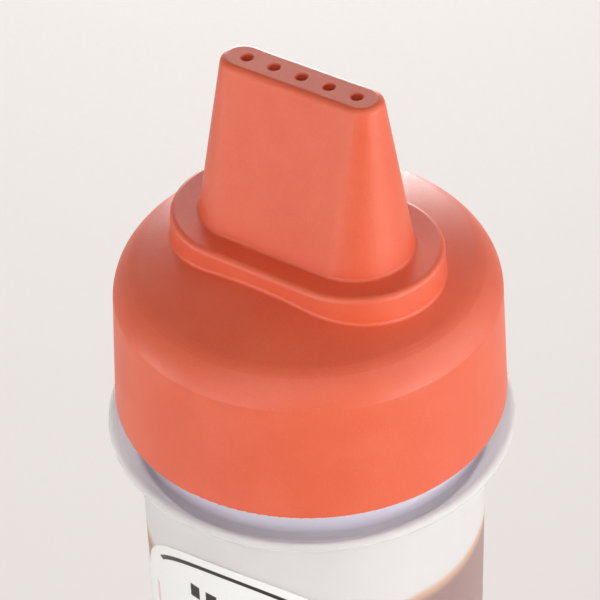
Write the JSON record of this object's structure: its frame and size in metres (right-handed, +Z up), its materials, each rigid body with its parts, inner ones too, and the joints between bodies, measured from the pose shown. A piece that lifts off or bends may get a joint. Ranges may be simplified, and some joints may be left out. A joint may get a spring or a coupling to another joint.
{
  "type": "squeeze bottle",
  "caption": "Round translucent squeeze bottle of brown sauce, with a label and a coral screw cap whose flat tapered spout ends in a row of small holes.",
  "frame": {"origin": "centre of the base ring, on the surface that the bottle stands on", "axes": "+Z up along the bottle's axis; +X along the long side of the spout; -Y to the front, where the label is"},
  "size_m": [0.0584, 0.0584, 0.193],
  "materials": {
    "bottle": "translucent milky polyethylene, satin",
    "cap": "coral polypropylene, fine matte grain",
    "sauce": "glossy brown sauce",
    "label": "satin white sticker with a dark border line"
  },
  "bodies": {
    "root": {"bottle": "bottle", "cap": "cap", "sauce": "sauce", "label": "label"}
  },
  "joints": []
}
